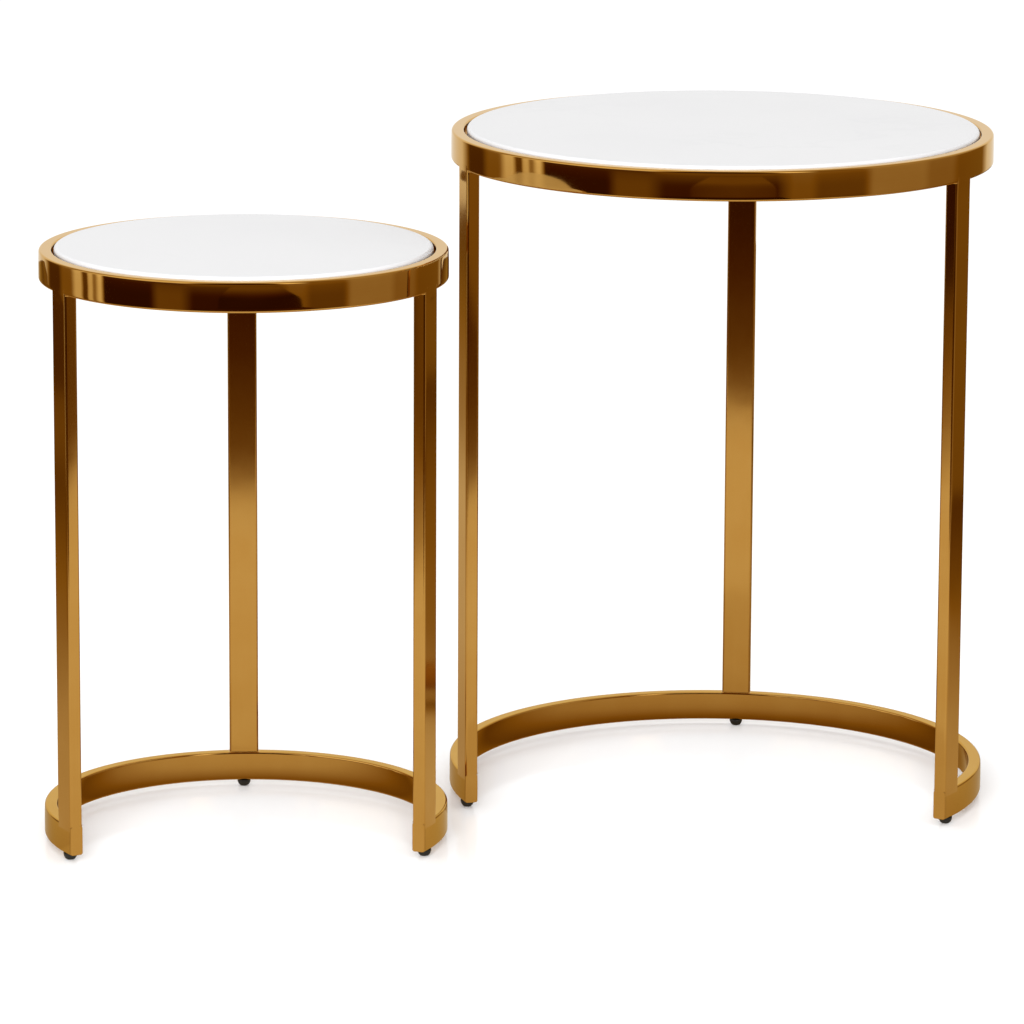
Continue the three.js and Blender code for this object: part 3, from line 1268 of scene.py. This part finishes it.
@dataclass(frozen=True)
class PaintedReflectionRoom:
    """The world: plain white light for the camera and diffuse light, and for reflections only a painted room,
    painted white behind and painted dim in front, with painted highlights high up at the front left and right.
    """

    turn: float
    strips: tuple[Strip, ...] = (
        Strip(-180.0, -146.0, 0.9, 0.97, 1.04),
        Strip(-137.0, -124.0, 0.1, 0.14, 0.4),
        Strip(-119.0, -110.0, 0.3, 0.34, 0.5),
        Strip(-106.0, -101.0, 0.9, 1.0, 1.1),
        Strip(-98.5, -95.5, 0.15, 0.2, 0.6),
        Strip(-94.0, -91.5, 0.9, 1.0, 1.2),
        Strip(-90.0, -88.0, 0.4, 0.45, 1.0),
        Strip(-86.5, -84.0, 1.0, 1.2, 1.3),
        Strip(-82.0, -51.0, 0.04, 0.1, 1.2),
        Strip(-46.0, -33.0, 0.22, 0.13, 1.1),
        Strip(-26.0, 21.0, 0.05, 0.24, 0.06),
        Strip(28.0, 36.0, 0.3, 0.36, 1.5),
        Strip(40.0, 60.0, 0.18, 0.32, 0.3),
        Strip(65.0, 92.0, 0.46, 0.5, 0.6),
        Strip(97.0, 112.0, 0.36, 0.4, 0.5),
        Strip(118.0, 142.0, 0.26, 0.3, 0.6),
        Strip(150.0, 180.0, 0.9, 0.97, 1.04),
    )
    lower_band: tuple[float, float] = (-11.0, -2.0)
    upper_band: tuple[float, float] = (7.0, 16.0)
    light: float = 1.085

    def build(self) -> None:
        """Make the world."""
        world = bpy.data.worlds.new("Studio")
        bpy.context.scene.world = world
        world.use_nodes = True
        world.cycles.sampling_method = "NONE"
        graph = Graph(world.node_tree)
        where = graph.node("ShaderNodeTexCoord", None, None, "Generated")
        x, y, z = graph.separate(where)
        across = x * math.cos(self.turn) - y * math.sin(self.turn)
        away = x * math.sin(self.turn) + y * math.cos(self.turn)
        around = across.maths("ARCTAN2", away * -1.0) / math.tau + 0.5
        below, level, above = (
            graph.ramp(around, self._stops(pick))
            for pick in (lambda strip: strip.below, lambda strip: strip.level, lambda strip: strip.above)
        )
        lower, upper = (
            z.step(*(math.sin(math.radians(edge)) for edge in band)) for band in (self.lower_band, self.upper_band)
        )
        # Painted reflections: the strips' painted brightness by direction, blended from below to above.
        mirrored = graph.blend(upper, graph.blend(lower, below, level), above)
        toned = painted_reflection_tone(graph, graph.node("ShaderNodeRGBToBW", None, {0: mirrored}) * BRIGHTEST)
        # Reflections see the painted room; the camera and diffuse light see plain white.
        glossy = graph.node("ShaderNodeLightPath", None, None, "Is Glossy Ray")
        plain = graph.node("ShaderNodeBackground", None, {"Color": (1.0, 1.0, 1.0), "Strength": self.light})
        room = graph.node("ShaderNodeBackground", None, {"Color": toned, "Strength": 1.0})
        mixed = graph.node("ShaderNodeMixShader", None, {0: glossy, 1: plain, 2: room})
        surface(graph, mixed, "ShaderNodeOutputWorld")

    def _stops(self, level: Callable[[Strip], float]) -> list[tuple[float, Colour]]:
        """A ramp's stops for one height of the painted room.

        Args:
            level: Picks a strip's brightness.

        Returns:
            The stops, with each brightness as a share of the brightest.
        """
        stops: list[tuple[float, Colour]] = []
        for strip in self.strips:
            grey = (level(strip) / BRIGHTEST,) * 3
            stops += [(strip.start / 360.0 + 0.5, grey), (strip.end / 360.0 + 0.5, grey)]
        return stops[1:-1]


@dataclass(frozen=True)
class Floor:
    """The white floor, and two glowing sheets under it that only reflections see, painted with the floor's
    reflection: painted white near the tables and painted dim further off.

    The curves give the glowing sheets' painted reflection brightness: along Y and, at most, across X in front of
    the tables, across X behind them, and, as painted contact shade, what is left of it at a distance inwards from a
    base arc's inner wall.
    """

    half_width: float = 40.0
    near: tuple[Place, Place] = ((-2.1, -1.6, -0.002), (1.7, 3.0, -0.002))
    front: tuple[Place, Place] = ((-1.1, -6.5, -0.002), (1.25, -1.6, -0.002))
    # How strongly the glowing sheets give off their painted reflection brightness.
    painted_reflection_light: float = 1.12
    # Painted reflection brightness of the glowing sheets along Y, across X in front of the tables, and across X
    # behind them.
    along: Curve = (
        (-6.5, 0.2), (-4.6, 0.2), (-3.8, 0.1), (-3.2, 0.03), (-2.8, 0.036), (-2.4, 0.062), (-2.0, 0.1),
        (-1.72, 0.145), (-1.33, 0.22), (-1.3, 0.82), (-1.0, 0.85), (-0.5, 0.82), (0.0, 0.73), (0.3, 0.62),
    )
    across: Curve = (
        (-2.1, 0.17), (-1.76, 0.22), (-1.53, 0.3), (-1.31, 0.4), (-1.11, 0.58), (-0.93, 1.0), (0.89, 0.95),
        (1.12, 0.66), (1.37, 0.26), (1.7, 0.14),
    )
    behind: Curve = (
        (-2.1, 0.23), (-1.9, 0.26), (-1.68, 0.17), (-1.48, 0.27), (-1.29, 0.37), (-0.95, 0.52), (-0.75, 0.82),
        (-0.4, 0.78), (0.0, 0.56), (0.25, 0.42), (0.8, 0.39), (1.2, 0.3), (1.65, 0.13),
    )
    # Painted contact shade: the share of the painted brightness left at a distance inwards from a base arc's inner
    # wall.
    painted_contact_shade: Curve = (
        (-0.1, 0.9), (0.0, 0.75), (0.012, 0.55), (0.022, 0.3), (0.032, 0.38), (0.055, 0.66), (0.08, 0.92),
        (0.11, 1.0),
    )
    colour: Colour = (0.965, 0.965, 0.965)
    gloss: float = 0.12
    gloss_roughness: float = 0.1
    gloss_reach: float = 0.42

    def material(self, tubes: Sequence[TubeFrame]) -> Material:
        """White board with a soft gloss.

        Args:
            tubes: The tables' tube frames. The gloss fades away from them.

        Returns:
            The material.
        """
        made, graph = new_material("White floor")
        where = graph.node("ShaderNodeTexCoord", None, None, "Object")
        x, y, _ = graph.separate(where)
        gloss: Wire | None = None
        for tube in tubes:
            radius = graph.distance(x - tube.axis.x, y - tube.axis.y)
            near = 1.0 - radius.step(tube.radius, tube.radius + self.gloss_reach)
            gloss = near if gloss is None else gloss.maths("MAXIMUM", near)
        specks = graph.noise(where, 400.0, 2.0, 0.5)
        tone = graph.blend(specks, self.colour, (0.955, 0.955, 0.955))
        diffuse = graph.node("ShaderNodeBsdfDiffuse", None, {"Color": tone})
        sheen = graph.node(
            "ShaderNodeBsdfAnisotropic", None, {"Color": (1.0, 1.0, 1.0), "Roughness": self.gloss_roughness}
        )
        surface(graph, graph.node("ShaderNodeMixShader", None, {0: gloss * self.gloss, 1: diffuse, 2: sheen}))
        return made

    def painted_reflection_material(self, tubes: Sequence[TubeFrame]) -> Material:
        """A glowing sheet painted with the floor's reflection brightness as the plating shows it.

        Args:
            tubes: The tables' tube frames, next to whose arcs a painted contact shade darkens the sheet.

        Returns:
            The material.
        """
        made, graph = new_material("Painted reflection glow")
        x, y, _ = graph.separate(graph.node("ShaderNodeTexCoord", None, None, "Object"))
        front = graph.profile(y, self.along).maths("MINIMUM", graph.profile(x, self.across))
        share = y.step(0.0, 0.45)
        level = front * (1.0 - share) + graph.profile(x, self.behind) * share
        # Painted contact shade next to each base arc, left out at the arc's open front.
        for tube in tubes:
            radius = graph.distance(x - tube.axis.x, y - tube.axis.y)
            painted_shade = graph.profile(tube.wall - radius, self.painted_contact_shade)
            middle, half = tube.opening()
            ahead = (x - tube.axis.x) * math.cos(middle) + (y - tube.axis.y) * math.sin(middle)
            in_opening = (ahead / radius).step(math.cos(half), math.cos(half - math.radians(4.0)))
            level = level * painted_shade.maths("MAXIMUM", in_opening)
        # The sheet glows with the painted brightness, toned warmer as it dims, though it is no lamp.
        light = {"Color": painted_reflection_tone(graph, level), "Strength": self.painted_reflection_light}
        surface(graph, graph.node("ShaderNodeEmission", None, light))
        return made

    def build(self, tubes: Sequence[TubeFrame]) -> None:
        """Lay the floor, and round the tables' tube frames the two glowing sheets of painted reflection that only
        reflections see.
        """
        low, high = (-self.half_width, -self.half_width, 0.0), (self.half_width, self.half_width, 0.0)
        wide = self._sheet("floor", (low, high), self.material(tubes))
        wide.visible_glossy = False
        # Glowing sheets of painted reflection, hidden from the camera, diffuse light and shadows.
        mirrored = self.painted_reflection_material(tubes)
        for name, corners in (("painted_reflection_near", self.near), ("painted_reflection_front", self.front)):
            part = self._sheet(name, corners, mirrored)
            part.visible_camera = part.visible_diffuse = part.visible_shadow = False

    @staticmethod
    def _sheet(name: str, corners: tuple[Place, Place], material: Material) -> Piece:
        """One flat rectangle of floor.

        Args:
            name: Its name.
            corners: Its lowest and highest corner.
            material: Its finish.

        Returns:
            The rectangle.
        """
        low, high = Vector(corners[0]), Vector(corners[1])
        bench = Bench(name)
        bench.plate((high.x - low.x, high.y - low.y), tuple((low + high) / 2.0))
        made = bench.finish(weighted=False)
        made.data.materials.append(material)
        return made


@dataclass(frozen=True)
class SoftBox:
    """A large soft light that lights the set and isn't mirrored itself."""

    name: str
    at: Place
    aim: Place
    size: float
    power: float

    def build(self) -> None:
        """Hang the light."""
        data = bpy.data.lights.new(self.name, "AREA")
        data.shape = "SQUARE"
        data.size = self.size
        data.energy = self.power
        light = bpy.data.objects.new(self.name, data)
        bpy.context.scene.collection.objects.link(light)
        light.location = self.at
        light.rotation_euler = (Vector(self.aim) - Vector(self.at)).to_track_quat("-Z", "Y").to_euler()
        light.visible_glossy = False
        light.visible_camera = False


@dataclass(frozen=True)
class Viewpoint:
    """The camera's place and aim, in metres and radians."""

    at: Place = (-0.461, -5.5, 1.469)
    heading: float = math.radians(4.734)
    pitch: float = math.radians(12.193)
    roll: float = math.radians(0.275)
    lens: float = 214.42
    sensor: float = 36.0

    def build(self) -> None:
        """Set up the camera."""
        data = bpy.data.cameras.new("Camera")
        data.lens = self.lens
        data.sensor_width = self.sensor
        data.clip_end = 200.0
        camera = bpy.data.objects.new("Camera", data)
        bpy.context.scene.collection.objects.link(camera)
        forward = Vector(
            (
                math.sin(self.heading) * math.cos(self.pitch),
                math.cos(self.heading) * math.cos(self.pitch),
                -math.sin(self.pitch),
            )
        )
        level = Vector((math.cos(self.heading), -math.sin(self.heading), 0.0))
        upright = level.cross(forward)
        right = level * math.cos(self.roll) + upright * math.sin(self.roll)
        up = right.cross(forward)
        turn = Matrix((right, up, -forward)).transposed()
        camera.matrix_world = Matrix.Translation(self.at) @ turn.to_4x4()
        bpy.context.scene.camera = camera


@dataclass(frozen=True)
class Studio:
    """The camera, the floor with its glowing sheets of painted reflection, the painted reflection room and the
    lights.
    """

    viewpoint: Viewpoint = Viewpoint()
    floor: Floor = Floor()
    lights: tuple[SoftBox, ...] = (
        SoftBox("Front soft box", (-0.9, -4.2, 1.3), (0.0, 0.0, 0.5), 2.4, 230.0),
    )

    def build(self, tubes: Sequence[TubeFrame]) -> None:
        """Set up the studio round the tables' tube frames."""
        bpy.context.scene.view_settings.view_transform = "Standard"
        self.viewpoint.build()
        self.floor.build(tubes)
        PaintedReflectionRoom(self.viewpoint.heading).build()
        for light in self.lights:
            light.build()


# === The pair ===


def main() -> None:
    """Build the studio and both tables."""
    logging.basicConfig(level=logging.INFO, format="%(name)s: %(message)s")
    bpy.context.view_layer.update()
    tables = (Table("small", (0.31, 0.12, 0.0)), Table("large", (1.73, 0.41, 0.0)))
    Studio().build([TubeFrame(table.name) for table in tables])
    for table in tables:
        table.build()


if __name__ == "__main__":
    main()
